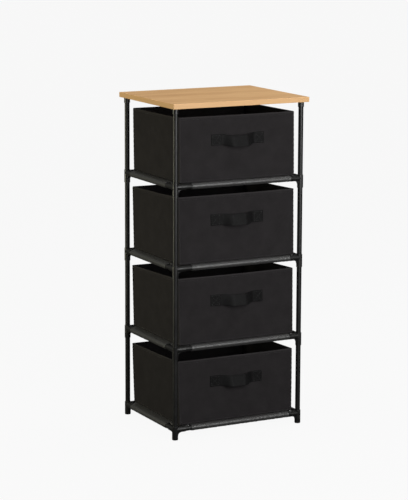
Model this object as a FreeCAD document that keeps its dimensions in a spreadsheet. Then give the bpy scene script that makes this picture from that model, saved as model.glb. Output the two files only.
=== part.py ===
import FreeCAD, Part
import Sketcher
import math
import os

# Four-tier open-frame drawer unit: tube frame with moulded corner connectors, fabric shelves sewn round the
# rails, soft fabric drawers with a strap handle each, and a wood board on top. The front faces -Y. The origin
# is on the floor below the middle of the frame.

os.makedirs("parts", exist_ok=True)
doc = FreeCAD.newDocument("DrawerUnit")

sizes = {
    # drawers, which the frame is laid out around
    "drawer_width": 386,
    "drawer_depth": 307,
    "drawer_height": 192.75,
    "drawer_side_gap": 7,
    "drawer_front_setback": 9,
    "drawer_rear_setback": 8,
    "drawer_rest_gap": 0.3,
    "rail_headroom": 30.55,
    "board_headroom": 28,
    # drawer fabric, wall boards and base insert
    "drawer_fabric": 1,
    "drawer_floor": 1.2,
    "rim_fold": 1.5,
    "lining_slit": 0.8,
    "wall_board": 2,
    "wall_board_play": 0.2,
    "insert_thickness": 2.5,
    "insert_side_play": 1,
    "insert_rest_gap": 0.3,
    # strap handle
    "strap_length": 176,
    "strap_width": 33,
    "strap_thickness": 1.6,
    "strap_patch": 33,
    "strap_bulge": 22,
    "strap_top_drop": 55,
    # tubes
    "tube_diameter": 15,
    "tube_wall": 1,
    "tube_end_play": 0.3,
    # corner connectors
    "socket_play": 0.15,
    "sleeve_wall": 1.35,
    "sleeve_drop": 29,
    "sleeve_rise": 10,
    "web_depth": 9,
    "web_thickness": 3,
    "arm_reach": 33,
    "arm_stop": 12,
    "arm_inset": 0.15,
    "gusset_radius": 9,
    "gusset_thickness": 7,
    "moulding_round": 0.6,
    # feet
    "glide_thickness": 1.5,
    "glide_inset": 0.2,
    "glide_bevel": 0.7,
    "glide_stem": 12,
    # shelf fabric
    "shelf_hem": 1.2,
    "shelf_sheet": 1.1,
    "shelf_hem_play": 0.25,
    "shelf_near_gap": 1.5,
    "shelf_far_gap": 19,
    # top caps and board
    "cap_height": 16,
    "cap_plate": 3,
    "board_thickness": 15,
    "board_side_overhang": 16,
    "board_front_overhang": 21,
    "board_edge": 0.5,
    # board screws
    "screw_diameter": 3.5,
    "screw_play": 0.1,
    "screw_cover": 4,
    "screw_tip": 3,
    "screw_head_diameter": 7,
    "screw_head_height": 2.2,
    "screw_head_round": 0.6,
    "recess_span": 3.6,
    "recess_width": 0.9,
    "recess_depth": 1.3,
    # how far a cut runs past the face it opens
    "overrun": 1,
}
tiers = 4
edge_tolerance_share = 0.01

sheet = doc.addObject("Spreadsheet::Sheet", "Sizes")
for row, (alias, size) in enumerate(sizes.items(), 1):
    sheet.set(f"A{row}", alias)
    sheet.set(f"B{row}", str(size))
    sheet.setAlias(f"B{row}", alias)
doc.recompute()

# Sizes that follow from the driving ones, as expressions on the sheet
tube_radius = "(Sizes.tube_diameter / 2)"
socket_radius = f"({tube_radius} + Sizes.socket_play)"
sleeve_radius = f"({socket_radius} + Sizes.sleeve_wall)"
hem_bore = f"({tube_radius} + Sizes.shelf_hem_play)"
hem_radius = f"({hem_bore} + Sizes.shelf_hem)"
arm_radius = f"({hem_radius} - Sizes.arm_inset)"

post_x = f"(Sizes.drawer_width / 2 + Sizes.drawer_side_gap + {sleeve_radius})"
post_y = "((Sizes.drawer_front_setback + Sizes.drawer_depth + Sizes.drawer_rear_setback) / 2)"
drawer_y = "((Sizes.drawer_front_setback - Sizes.drawer_rear_setback) / 2)"
drawer_foot = f"({hem_radius} + Sizes.drawer_rest_gap)"
drawer_rim = f"({drawer_foot} + Sizes.drawer_height)"
tier_pitch = f"({drawer_rim} + Sizes.rail_headroom + {hem_radius})"
first_level = "(Sizes.glide_thickness + Sizes.sleeve_drop)"
web_top = "(0 - Sizes.web_depth)"
web_bottom = f"({web_top} - Sizes.web_thickness)"
board_underside = f"({first_level} + {tiers - 1} * {tier_pitch} + {drawer_rim} + Sizes.board_headroom)"
cap_foot = f"({board_underside} - Sizes.cap_height)"

wall_slot = "(Sizes.wall_board + 2 * Sizes.wall_board_play)"
wall_depth = f"(2 * Sizes.drawer_fabric + {wall_slot})"
near_hem = "(Sizes.arm_reach + Sizes.shelf_near_gap)"
far_hem = "(Sizes.arm_reach + Sizes.shelf_far_gap)"

along = FreeCAD.Vector(1, 0, 0)
across = FreeCAD.Vector(0, 1, 0)
upright = FreeCAD.Vector(0, 0, 1)
quarter = 90

# The four corners, each with the signs of its X and Y and the quarter turns of its connector
corners = {
    "front_left": (-1, -1, 0),
    "front_right": (1, -1, 1),
    "back_right": (1, 1, 2),
    "back_left": (-1, 1, 3),
}

subparts = []


def value(text):
    return float(sheet.evalExpression(text))


def level(tier):
    return f"({first_level} + {tier} * {tier_pitch})"


def bind(item, texts):
    for name, text in texts.items():
        item.setExpression(name, text)


def place(item, x="0", y="0", z="0", axis=upright, angle=0):
    item.Placement = FreeCAD.Placement(FreeCAD.Vector(), FreeCAD.Rotation(axis, angle))
    bind(item, {"Placement.Base.x": x, "Placement.Base.y": y, "Placement.Base.z": z})
    return item


def finished(item, label):
    item.Label = label
    subparts.append(item)
    return item


def new_body(name):
    return doc.addObject("PartDesign::Body", name)


def cylinder(body, kind, radius, height, **where):
    item = body.newObject(f"PartDesign::{kind}Cylinder", kind)
    bind(item, {"Radius": radius, "Height": height})
    return place(item, **where)


def block(body, kind, lengths, corner):
    item = body.newObject(f"PartDesign::{kind}Box", kind)
    bind(item, dict(zip(("Length", "Width", "Height"), lengths)))
    return place(item, *corner)


def sketch_on(body, role):
    sketch = body.newObject("Sketcher::SketchObject", "Sketch")
    plane = next(item for item in body.Origin.OriginFeatures if item.Role == role)
    sketch.AttachmentSupport = [(plane, "")]
    sketch.MapMode = "FlatFace"
    return sketch


def pin_point(sketch, edge, end, point):
    """Ties one end of a line to its place, given as two expressions."""
    for kind, text in zip(("DistanceX", "DistanceY"), point):
        number = sketch.addConstraint(Sketcher.Constraint(kind, -1, 1, edge, end, value(text)))
        sketch.setExpression(f"Constraints[{number}]", text)


def outline(sketch, points):
    """A closed outline of straight lines through points given as pairs of expressions."""
    places = [FreeCAD.Vector(value(x), value(y), 0) for x, y in points]
    count = len(places)
    for edge in range(count):
        sketch.addGeometry(Part.LineSegment(places[edge], places[(edge + 1) % count]), False)
    for edge in range(count):
        sketch.addConstraint(Sketcher.Constraint("Coincident", edge, 2, (edge + 1) % count, 1))
    for edge, point in enumerate(points):
        pin_point(sketch, edge, 1, point)


def rectangle(sketch, width, depth):
    half_x, half_y = f"({width} / 2)", f"({depth} / 2)"
    outline(sketch, [(f"0 - {half_x}", f"0 - {half_y}"), (half_x, f"0 - {half_y}"),
                     (half_x, half_y), (f"0 - {half_x}", half_y)])


def pad(body, sketch, length):
    item = body.newObject("PartDesign::Pad", "Pad")
    item.Profile = sketch
    bind(item, {"Length": length})
    return item


def revolution(body, points):
    """Turns an outline of radius and height pairs about the body's upright axis."""
    sketch = sketch_on(body, "XZ_Plane")
    outline(sketch, points)
    item = body.newObject("PartDesign::Revolution", "Revolution")
    item.Profile = sketch
    item.ReferenceAxis = (sketch, ["V_Axis"])
    item.Angle = 4 * quarter
    return item


def tube(length, **where):
    """A round tube that starts at its place and runs along its own upright axis."""
    outer = doc.addObject("Part::Cylinder", "TubeOutside")
    inner = doc.addObject("Part::Cylinder", "TubeInside")
    bind(outer, {"Radius": tube_radius, "Height": length})
    bind(inner, {"Radius": f"{tube_radius} - Sizes.tube_wall", "Height": f"{length} + 2 * Sizes.overrun"})
    place(inner, z="0 - Sizes.overrun")
    item = doc.addObject("Part::Cut", "Tube")
    item.Base = outer
    item.Tool = inner
    return place(item, **where)


def group(items, label):
    item = doc.addObject("Part::Compound", "Group")
    item.Links = items
    return finished(item, label)


# Corner connectors: an upright sleeve for the posts, and two level arms at a right angle for the rails

def gusset(body, turn_axis):
    """The web under an arm, with a hollow arc from the sleeve's side to the arm's underside."""
    reach = f"({sleeve_radius} + Sizes.gusset_radius)"
    depth = f"({arm_radius} + Sizes.gusset_radius)"
    thickness = "Sizes.gusset_thickness"
    half = f"{thickness} / 2"
    run = f"{thickness} + 2 * Sizes.overrun"
    if turn_axis == across:
        block(body, "Additive", (reach, thickness, depth), ("0", f"0 - {half}", f"0 - {depth}"))
        cylinder(body, "Subtractive", "Sizes.gusset_radius", run, x=reach, y=f"0 - {half} - Sizes.overrun",
                 z=f"0 - {depth}", axis=along, angle=-quarter)
    else:
        block(body, "Additive", (thickness, reach, depth), (f"0 - {half}", "0", f"0 - {depth}"))
        cylinder(body, "Subtractive", "Sizes.gusset_radius", run, x=f"0 - {half} - Sizes.overrun", y=reach,
                 z=f"0 - {depth}", axis=across, angle=quarter)


def mouth_edges(shape):
    """The outer circles at the open ends of the sleeve and of the two arms."""
    ends = [(sleeve_radius, upright, "Sizes.sleeve_rise"), (sleeve_radius, upright, "0 - Sizes.sleeve_drop"),
            (arm_radius, along, "Sizes.arm_reach"), (arm_radius, across, "Sizes.arm_reach")]
    tolerance = edge_tolerance_share * value("Sizes.overrun")
    names = []
    for number, edge in enumerate(shape.Edges, 1):
        if not isinstance(edge.Curve, Part.Circle):
            continue
        for radius, axis, distance in ends:
            fits = abs(edge.Curve.Radius - value(radius)) < tolerance
            if fits and abs(edge.Curve.Center.dot(axis) - value(distance)) < tolerance:
                names.append(f"Edge{number}")
    return names


def connector(tier, name, x_sign, y_sign, turns):
    body = new_body("Connector")
    gusset(body, across)
    gusset(body, along)
    sleeve_length = "Sizes.sleeve_drop + Sizes.sleeve_rise"
    cylinder(body, "Additive", sleeve_radius, sleeve_length, z="0 - Sizes.sleeve_drop")
    cylinder(body, "Additive", arm_radius, "Sizes.arm_reach", axis=across, angle=quarter)
    cylinder(body, "Additive", arm_radius, "Sizes.arm_reach", axis=along, angle=-quarter)
    upper_socket = "Sizes.web_depth + Sizes.sleeve_rise + Sizes.overrun"
    cylinder(body, "Subtractive", socket_radius, upper_socket, z=web_top)
    lower_socket = f"{web_bottom} + Sizes.sleeve_drop + Sizes.overrun"
    cylinder(body, "Subtractive", socket_radius, lower_socket, z="0 - Sizes.sleeve_drop - Sizes.overrun")
    arm_socket = "Sizes.arm_reach - Sizes.arm_stop + Sizes.overrun"
    cylinder(body, "Subtractive", socket_radius, arm_socket, x="Sizes.arm_stop", axis=across, angle=quarter)
    cylinder(body, "Subtractive", socket_radius, arm_socket, y="Sizes.arm_stop", axis=along, angle=-quarter)
    doc.recompute()
    moulded = body.Tip
    rounding = body.newObject("PartDesign::Fillet", "Round")
    rounding.Base = (moulded, mouth_edges(moulded.Shape))
    bind(rounding, {"Radius": "Sizes.moulding_round"})
    place(body, f"{x_sign} * {post_x}", f"{y_sign} * {post_y}", level(tier), upright, turns * quarter)
    finished(body, f"connector_{tier + 1}_{name}")


for tier in range(tiers):
    for name, corner in corners.items():
        connector(tier, name, *corner)

# Posts: one tube on each connector's web, held in the next connector or the top cap

for tier in range(tiers):
    post_foot = f"({level(tier)} + {web_top})"
    if tier < tiers - 1:
        post_head = f"({level(tier + 1)} + {web_bottom})"
    else:
        post_head = f"({board_underside} - Sizes.cap_plate)"
    for name, (x_sign, y_sign, turns) in corners.items():
        post = tube(f"({post_head} - {post_foot} - Sizes.tube_end_play)",
                    x=f"{x_sign} * {post_x}", y=f"{y_sign} * {post_y}", z=post_foot)
        finished(post, f"post_{tier + 1}_{name}")

# Rails: front, back, left and right tubes between the arms of each level

rail_x = f"(2 * ({post_x} - Sizes.arm_stop - Sizes.tube_end_play))"
rail_y = f"(2 * ({post_y} - Sizes.arm_stop - Sizes.tube_end_play))"

for tier in range(tiers):
    rails = []
    for side in (-1, 1):
        rails.append(tube(rail_x, x=f"0 - {rail_x} / 2", y=f"{side} * {post_y}", z=level(tier),
                          axis=across, angle=quarter))
        rails.append(tube(rail_y, x=f"{side} * {post_x}", y=f"0 - {rail_y} / 2", z=level(tier),
                          axis=along, angle=-quarter))
    group(rails, f"rails_{tier + 1}")

# Shelf fabric: a sheet cut back at the corners, with a hem sewn round each rail. Two corners, opposite each
# other, are cut back further than the other two.


def shelf(tier):
    body = new_body("Shelf")
    sketch = sketch_on(body, "XY_Plane")
    points = []
    for name, (x_sign, y_sign, turns) in corners.items():
        cut = far_hem if turns % 2 == 0 else near_hem
        edge_x, edge_y = f"{x_sign} * {post_x}", f"{y_sign} * {post_y}"
        inner_x, inner_y = f"{x_sign} * ({post_x} - {cut})", f"{y_sign} * ({post_y} - {cut})"
        notch = [(edge_x, inner_y), (inner_x, inner_y), (inner_x, edge_y)]
        points += notch if turns % 2 == 0 else notch[::-1]
    outline(sketch, points)
    pad(body, sketch, "Sizes.shelf_sheet")
    sketch.setExpression("AttachmentOffset.Base.z", f"{hem_radius} - Sizes.shelf_sheet")
    hem_x = f"(2 * {post_x} - {near_hem} - {far_hem})"
    hem_y = f"(2 * {post_y} - {near_hem} - {far_hem})"
    for kind, radius in (("Additive", hem_radius), ("Subtractive", hem_bore)):
        for side, cut in ((-1, far_hem), (1, near_hem)):
            cylinder(body, kind, radius, hem_x, x=f"{cut} - {post_x}", y=f"{side} * {post_y}",
                     axis=across, angle=quarter)
            cylinder(body, kind, radius, hem_y, x=f"{side} * {post_x}", y=f"{cut} - {post_y}",
                     axis=along, angle=-quarter)
    place(body, z=level(tier))
    finished(body, f"shelf_{tier + 1}")


for tier in range(tiers):
    shelf(tier)

# Feet: a glide under each lowest connector, its stem in the lower socket

glides = []
for name, (x_sign, y_sign, turns) in corners.items():
    glide = new_body("Glide")
    flange = f"({sleeve_radius} - Sizes.glide_inset)"
    stem = tube_radius
    stem_top = "(Sizes.glide_thickness + Sizes.glide_stem)"
    revolution(glide, [("0", "0"), (f"{flange} - Sizes.glide_bevel", "0"), (flange, "Sizes.glide_bevel"),
                       (flange, "Sizes.glide_thickness"), (stem, "Sizes.glide_thickness"),
                       (stem, f"{stem_top} - Sizes.glide_bevel"), (f"{stem} - Sizes.glide_bevel", stem_top),
                       ("0", stem_top)])
    glides.append(place(glide, f"{x_sign} * {post_x}", f"{y_sign} * {post_y}"))
group(glides, "foot_glides")

# Top caps between the posts and the board, and the screws through them

screw_hole = "(Sizes.screw_diameter / 2 + Sizes.screw_play)"
screw_bite = "(Sizes.board_thickness - Sizes.screw_cover)"
caps = []
screws = []
for name, (x_sign, y_sign, turns) in corners.items():
    at_post = {"x": f"{x_sign} * {post_x}", "y": f"{y_sign} * {post_y}"}
    cap = new_body("Cap")
    plate = "(Sizes.cap_height - Sizes.cap_plate)"
    revolution(cap, [(socket_radius, "0"), (f"{sleeve_radius} - Sizes.moulding_round", "0"),
                     (sleeve_radius, "Sizes.moulding_round"), (sleeve_radius, "Sizes.cap_height"),
                     (screw_hole, "Sizes.cap_height"), (screw_hole, plate), (socket_radius, plate)])
    caps.append(place(cap, z=cap_foot, **at_post))

    screw = new_body("Screw")
    head_radius = "(Sizes.screw_head_diameter / 2)"
    head = "(0 - Sizes.screw_head_height)"
    shank = "(Sizes.screw_diameter / 2)"
    tip = f"(Sizes.cap_plate + {screw_bite})"
    revolution(screw, [("0", head), (f"{head_radius} - Sizes.screw_head_round", head),
                       (head_radius, f"{head} + Sizes.screw_head_round"), (head_radius, "0"), (shank, "0"),
                       (shank, f"{tip} - Sizes.screw_tip"), ("0", tip)])
    span, width, depth = "Sizes.recess_span", "Sizes.recess_width", "Sizes.recess_depth + Sizes.overrun"
    recess_foot = f"{head} - Sizes.overrun"
    block(screw, "Subtractive", (span, width, depth), (f"0 - {span} / 2", f"0 - {width} / 2", recess_foot))
    block(screw, "Subtractive", (width, span, depth), (f"0 - {width} / 2", f"0 - {span} / 2", recess_foot))
    screws.append(place(screw, z=f"{board_underside} - Sizes.cap_plate", **at_post))
group(caps, "top_caps")
group(screws, "board_screws")

# Top board, with a blind pilot hole for each screw and its upper and lower edges eased

board = new_body("TopBoard")
board_sketch = sketch_on(board, "XY_Plane")
rectangle(board_sketch, f"(2 * ({post_x} + Sizes.board_side_overhang))",
          f"(2 * ({post_y} + Sizes.board_front_overhang))")
board_pad = pad(board, board_sketch, "Sizes.board_thickness")
doc.recompute()
flat_faces = [f"Face{number}" for number, face in enumerate(board_pad.Shape.Faces, 1)
              if abs(face.normalAt(0, 0).z) > abs(face.normalAt(0, 0).x) + abs(face.normalAt(0, 0).y)]
easing = board.newObject("PartDesign::Chamfer", "EasedEdges")
easing.Base = (board_pad, flat_faces)
bind(easing, {"Size": "Sizes.board_edge"})
for name, (x_sign, y_sign, turns) in corners.items():
    cylinder(board, "Subtractive", screw_hole, f"{screw_bite} + Sizes.screw_play + Sizes.overrun",
             x=f"{x_sign} * {post_x}", y=f"{y_sign} * {post_y}", z="0 - Sizes.overrun")
place(board, z=board_underside)
finished(board, "top_board")

# Drawers: an open box of doubled fabric, its lining folded over the rim and tucked in at the floor, a stiff
# board in each wall, a loose base insert, and a strap handle on the front


def drawer_fabric(tier):
    body = new_body("DrawerFabric")
    sketch = sketch_on(body, "XY_Plane")
    width, depth, height = "Sizes.drawer_width", "Sizes.drawer_depth", "Sizes.drawer_height"
    rectangle(sketch, width, depth)
    pad(body, sketch, height)

    def hollow(inset, foot, rise):
        """Cuts a level box, inset alike from all four walls."""
        lengths = (f"{width} - 2 * {inset}", f"{depth} - 2 * {inset}", rise)
        block(body, "Subtractive", lengths, (f"{inset} - {width} / 2", f"{inset} - {depth} / 2", foot))

    hollow(wall_depth, "Sizes.drawer_floor", f"{height} - Sizes.drawer_floor + Sizes.overrun")
    hollow("Sizes.drawer_fabric", "Sizes.drawer_floor", "Sizes.lining_slit")
    slot_height = f"{height} - Sizes.rim_fold - Sizes.drawer_floor"
    inset = "Sizes.drawer_fabric"
    for side in (-1, 1):
        low_x = f"{inset} - {width} / 2" if side < 0 else f"{width} / 2 - {inset} - {wall_slot}"
        low_y = f"{inset} - {depth} / 2" if side < 0 else f"{depth} / 2 - {inset} - {wall_slot}"
        block(body, "Subtractive", (wall_slot, f"{depth} - 2 * {inset}", slot_height),
              (low_x, f"{inset} - {depth} / 2", "Sizes.drawer_floor"))
        block(body, "Subtractive", (f"{width} - 2 * {inset}", wall_slot, slot_height),
              (f"{inset} - {width} / 2", low_y, "Sizes.drawer_floor"))
    place(body, y=drawer_y, z=f"{level(tier)} + {drawer_foot}")
    finished(body, f"drawer_{tier + 1}_fabric")


def wall_boards(tier):
    """Front and back boards as wide as the slot allows, and side boards between them."""
    inset = "(Sizes.drawer_fabric + Sizes.wall_board_play)"
    half_x, half_y = f"(Sizes.drawer_width / 2 - {inset})", f"(Sizes.drawer_depth / 2 - {inset})"
    height = "Sizes.drawer_height - Sizes.rim_fold - Sizes.drawer_floor - 2 * Sizes.wall_board_play"
    foot = f"{level(tier)} + {drawer_foot} + Sizes.drawer_floor + Sizes.wall_board_play"
    between = f"({half_y} - Sizes.wall_board - Sizes.wall_board_play)"
    boards = []
    for side in (-1, 1):
        outer_x = f"0 - {half_x}" if side < 0 else f"{half_x} - Sizes.wall_board"
        outer_y = f"{drawer_y} - {half_y}" if side < 0 else f"{drawer_y} + {half_y} - Sizes.wall_board"
        end = doc.addObject("Part::Box", "EndBoard")
        bind(end, {"Length": f"2 * {half_x}", "Width": "Sizes.wall_board", "Height": height})
        boards.append(place(end, f"0 - {half_x}", outer_y, foot))
        flank = doc.addObject("Part::Box", "SideBoard")
        bind(flank, {"Length": "Sizes.wall_board", "Width": f"2 * {between}", "Height": height})
        boards.append(place(flank, outer_x, f"{drawer_y} - {between}", foot))
    group(boards, f"drawer_{tier + 1}_wall_boards")


def base_insert(tier):
    inset = f"({wall_depth} + Sizes.insert_side_play)"
    insert = doc.addObject("Part::Box", "BaseInsert")
    bind(insert, {"Length": f"Sizes.drawer_width - 2 * {inset}", "Width": f"Sizes.drawer_depth - 2 * {inset}",
                  "Height": "Sizes.insert_thickness"})
    foot = f"{level(tier)} + {drawer_foot} + Sizes.drawer_floor + Sizes.insert_rest_gap"
    place(insert, f"{inset} - Sizes.drawer_width / 2", f"{drawer_y} + {inset} - Sizes.drawer_depth / 2", foot)
    finished(insert, f"drawer_{tier + 1}_base_insert")


def strap_shape():
    """A flat strap on the XY plane, sewn ends on Y zero, bowed out to -Y between them in four equal arcs."""
    half = value("Sizes.strap_length") / 2
    free = half - value("Sizes.strap_patch")
    thickness = value("Sizes.strap_thickness")
    bulge = value("Sizes.strap_bulge") - thickness
    turn = 2 * math.atan2(bulge, free)
    radius = free / (2 * math.sin(turn))
    wall_centre = FreeCAD.Vector(free, -radius, 0)
    bow_centre = FreeCAD.Vector(0, radius - bulge, 0)

    def face_edges(offset):
        """One face of the strap: flat at the sewn end, then an arc off the wall and an arc round the bow."""

        def off_wall(angle):
            return wall_centre + FreeCAD.Vector(-math.sin(angle), math.cos(angle), 0) * (radius - offset)

        def round_bow(angle):
            return bow_centre + FreeCAD.Vector(math.sin(angle), -math.cos(angle), 0) * (radius + offset)

        right = [Part.LineSegment(FreeCAD.Vector(half, -offset, 0), off_wall(0)),
                 Part.Arc(off_wall(0), off_wall(turn / 2), off_wall(turn)),
                 Part.Arc(off_wall(turn), round_bow(turn / 2), round_bow(0))]
        right = [curve.toShape() for curve in right]
        return right + [edge.mirror(FreeCAD.Vector(), along) for edge in right]

    edges = face_edges(0) + face_edges(thickness)
    for end in (-half, half):
        edges.append(Part.makeLine(FreeCAD.Vector(end, 0, 0), FreeCAD.Vector(end, -thickness, 0)))
    wire = Part.Wire(Part.__sortEdges__(edges))
    return Part.Face(wire).extrude(upright * value("Sizes.strap_width"))


def strap_handle(tier):
    handle = doc.addObject("Part::Feature", "Handle")
    handle.Shape = strap_shape()
    top = f"({level(tier)} + {drawer_rim} - Sizes.strap_top_drop)"
    place(handle, y=f"{drawer_y} - Sizes.drawer_depth / 2", z=f"{top} - Sizes.strap_width")
    finished(handle, f"drawer_{tier + 1}_handle")


for tier in range(tiers):
    drawer_fabric(tier)
    wall_boards(tier)
    base_insert(tier)
    strap_handle(tier)

doc.recompute()

for item in doc.Objects:
    if {"Invalid", "Error"} & set(item.State):
        raise RuntimeError(f"{item.Label} could not be made: {item.State}")
for item in subparts:
    if item.Shape.isNull() or not item.Shape.isValid():
        raise RuntimeError(f"{item.Label} has no valid shape")
for item in subparts:
    item.Shape.exportStep(f"parts/{item.Label}.step")
print(f"{len(subparts)} sub-parts written")
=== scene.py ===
import math
import bpy
import numpy as np
from mathutils import Matrix, Vector


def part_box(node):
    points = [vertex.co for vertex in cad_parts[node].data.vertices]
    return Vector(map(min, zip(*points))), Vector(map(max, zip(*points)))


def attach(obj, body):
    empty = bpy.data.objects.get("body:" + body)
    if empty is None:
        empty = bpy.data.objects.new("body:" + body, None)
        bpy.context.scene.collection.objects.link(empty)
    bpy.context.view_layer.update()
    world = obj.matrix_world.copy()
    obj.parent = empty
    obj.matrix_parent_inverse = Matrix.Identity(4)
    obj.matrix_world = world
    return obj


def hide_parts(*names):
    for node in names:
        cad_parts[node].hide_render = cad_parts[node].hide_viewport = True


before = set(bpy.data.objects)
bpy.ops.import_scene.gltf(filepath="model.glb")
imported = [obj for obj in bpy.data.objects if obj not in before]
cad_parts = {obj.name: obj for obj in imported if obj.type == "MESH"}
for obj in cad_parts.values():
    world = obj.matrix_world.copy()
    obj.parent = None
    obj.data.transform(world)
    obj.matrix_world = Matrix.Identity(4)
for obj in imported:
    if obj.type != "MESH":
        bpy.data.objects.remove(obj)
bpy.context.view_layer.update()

# Four-tier drawer unit: tube frame, fabric shelves and drawers, oak-effect board.
# Lengths are metres; mm turns a size in millimetres into metres. Tier 1 is the lowest.
mm = 0.001
tau = 2 * math.pi
tiers = (1, 2, 3, 4)
white = (1, 1, 1, 1)


# Meshes

def limited(values):
    return np.clip(values, 0, 1)


def smooth(share):
    # 3t^2 - 2t^3, which goes from 0 to 1 with level ends.
    return share ** 2 * (3 - 2 * share)


def unit(vectors):
    return vectors / np.linalg.norm(vectors, axis=-1, keepdims=True)


def gridQuads(rows, columns, closed=False):
    # Quads between neighbours of a rows by columns grid; closed joins the last column to the first.
    row, column = np.meshgrid(np.arange(rows - 1), np.arange(columns - (not closed)), indexing="ij")
    first, second = row * columns + column, row * columns + (column + 1) % columns
    return np.stack([first, second, second + columns, first + columns], -1).reshape(-1, 4)


def ringCap(ring):
    # Quads across a ring whose first half faces its second half.
    near, far = ring[:len(ring) // 2], ring[::-1][:len(ring) // 2]
    return np.stack([near[:-1], near[1:], far[1:], far[:-1]], -1)


def facedOut(points, quads):
    # Turns every face round where the closed shell's volume comes out negative.
    a, b, c, d = (points[quads[:, corner]] for corner in range(4))
    volume = np.einsum("ij,ij->", a, np.cross(b, c) + np.cross(c, d))
    return quads if volume > 0 else quads[:, ::-1]


def closedRings(rings):
    # Rings of points along a path, joined into a solid with a cap over each end.
    rows, count = rings.shape[:2]
    cap = ringCap(np.arange(count))
    quads = np.concatenate([gridQuads(rows, count, closed=True), cap[:, ::-1], cap + (rows - 1) * count])
    points = rings.reshape(-1, 3)
    return points, facedOut(points, quads)


def addObject(name, data):
    added = bpy.data.objects.new(name, data)
    bpy.context.scene.collection.objects.link(added)
    return added


def makePiece(name, shells, finish, body, clothPlaces=None, paleTone=None):
    # One object from shells of points and quads, in place of the imported node that has its name, if any.
    # clothPlaces, a pair for each point, follow the cloth in metres; the last argument, the fold mask, is 1
    # where a fold is painted paler: a painted highlight where light catches the fold, with a little fuzz from
    # rubbing.
    starts = np.cumsum([0] + [len(points) for points, quads in shells])
    points = np.concatenate([points for points, quads in shells])
    quads = np.concatenate([quads + start for (_, quads), start in zip(shells, starts)])
    mesh = bpy.data.meshes.new(name)
    mesh.from_pydata(points, [], quads)
    mesh.polygons.foreach_set("use_smooth", np.ones(len(quads), bool))
    if clothPlaces is not None:
        mesh.uv_layers.new(name="cloth").uv.foreach_set("vector", clothPlaces[quads].ravel())
    if paleTone is not None:
        mesh.attributes.new("paleTone", "FLOAT", "POINT").data.foreach_set("value", paleTone.ravel())
    mesh.update()
    mesh.materials.append(materials[finish])
    piece = addObject(name, mesh)
    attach(piece, body)
    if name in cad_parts:
        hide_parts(name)
    return piece


seamLines = np.array([-1.6, -0.7, 0, 0.7, 1.6])  # close positions across a seam, in seam widths
seamClear = 2.2  # steady positions closer to a seam than this, in seam widths, make way for them


def spacedOut(low, high, step, seams=(), width=0):
    # Steady positions from low to high, with five close ones across each seam.
    steady = np.linspace(low, high, max(1, round((high - low) / step)) + 1)
    if not len(seams):
        return steady
    seams = np.asarray(seams)
    clear = np.abs(steady[:, None] - seams).min(axis=1) > seamClear * width
    clear[[0, -1]] = True
    return np.sort(np.concatenate([steady[clear], (seams[:, None] + width * seamLines).ravel()]))


# Nodes

class Nodes:
    # A node tree with short ways to add nodes. A socket takes a value or another node's output.
    def __init__(self, nodeTree):
        self.nodeTree = nodeTree

    def fill(self, socket, value):
        if isinstance(value, bpy.types.NodeSocket):
            self.nodeTree.links.new(value, socket)
        else:
            socket.default_value = value

    def add(self, kind, inputs=None, **settings):
        node = self.nodeTree.nodes.new("ShaderNode" + kind)
        for name, value in settings.items():
            setattr(node, name, value)
        for name, value in (inputs or {}).items():  # by name or number
            self.fill(node.inputs[name], value)
        return node

    def calculate(self, operation, first, second=0, third=0):
        return self.add("Math", {0: first, 1: second, 2: third}, operation=operation).outputs[0]

    def times(self, first, second):
        return self.calculate("MULTIPLY", first, second)

    def weighted(self, *parts):
        # The sum of some values, each with its weight.
        total = 0
        for value, weight in parts:
            total = self.calculate("MULTIPLY_ADD", value, weight, total)
        return total

    def absolute(self, value):
        return self.calculate("ABSOLUTE", value)

    def above(self, value, limit):
        return self.calculate("GREATER_THAN", value, limit)

    def remap(self, value, low, high, newLow=0, newHigh=1):
        inputs = {"Value": value, "From Min": low, "From Max": high, "To Min": newLow, "To Max": newHigh}
        return self.add("MapRange", inputs).outputs[0]

    def mix(self, share, first, second):
        return self.add("Mix", {0: share, 2: first, 3: second}).outputs[0]

    def mixColour(self, share, first, second):
        return self.add("Mix", {0: share, 6: first, 7: second}, data_type="RGBA").outputs[2]

    def split(self, vector):
        return self.add("SeparateXYZ", {0: vector}).outputs

    def joined(self, *axes):
        return self.add("CombineXYZ", dict(enumerate(axes))).outputs[0]

    def facing(self):
        # The surface's normal, split.
        return self.split(self.add("NewGeometry").outputs["Normal"])

    def noise(self, place, scale, detail=2, roughness=0.5, distortion=0, turn=(0, 0, 0)):
        # Three scales instead of one stretch the noise, before a turn.
        if isinstance(scale, tuple):
            place = self.add("Mapping", {"Vector": place, "Scale": scale, "Rotation": turn}).outputs[0]
            scale = 1
        inputs = {"Vector": place, "Scale": scale, "Detail": detail, "Roughness": roughness}
        return self.add("TexNoise", {**inputs, "Distortion": distortion}).outputs[0]

    def ripples(self, place, pitch):
        # Sine waves along X and along Y, each half wave one pitch long.
        turns = self.calculate("DIVIDE", math.pi, pitch)
        return [self.calculate("SINE", self.times(axis, turns)) for axis in self.split(place)[:2]]

    def group(self, group, **inputs):
        return self.add("Group", inputs, node_tree=group).outputs


materials = {}


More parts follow.
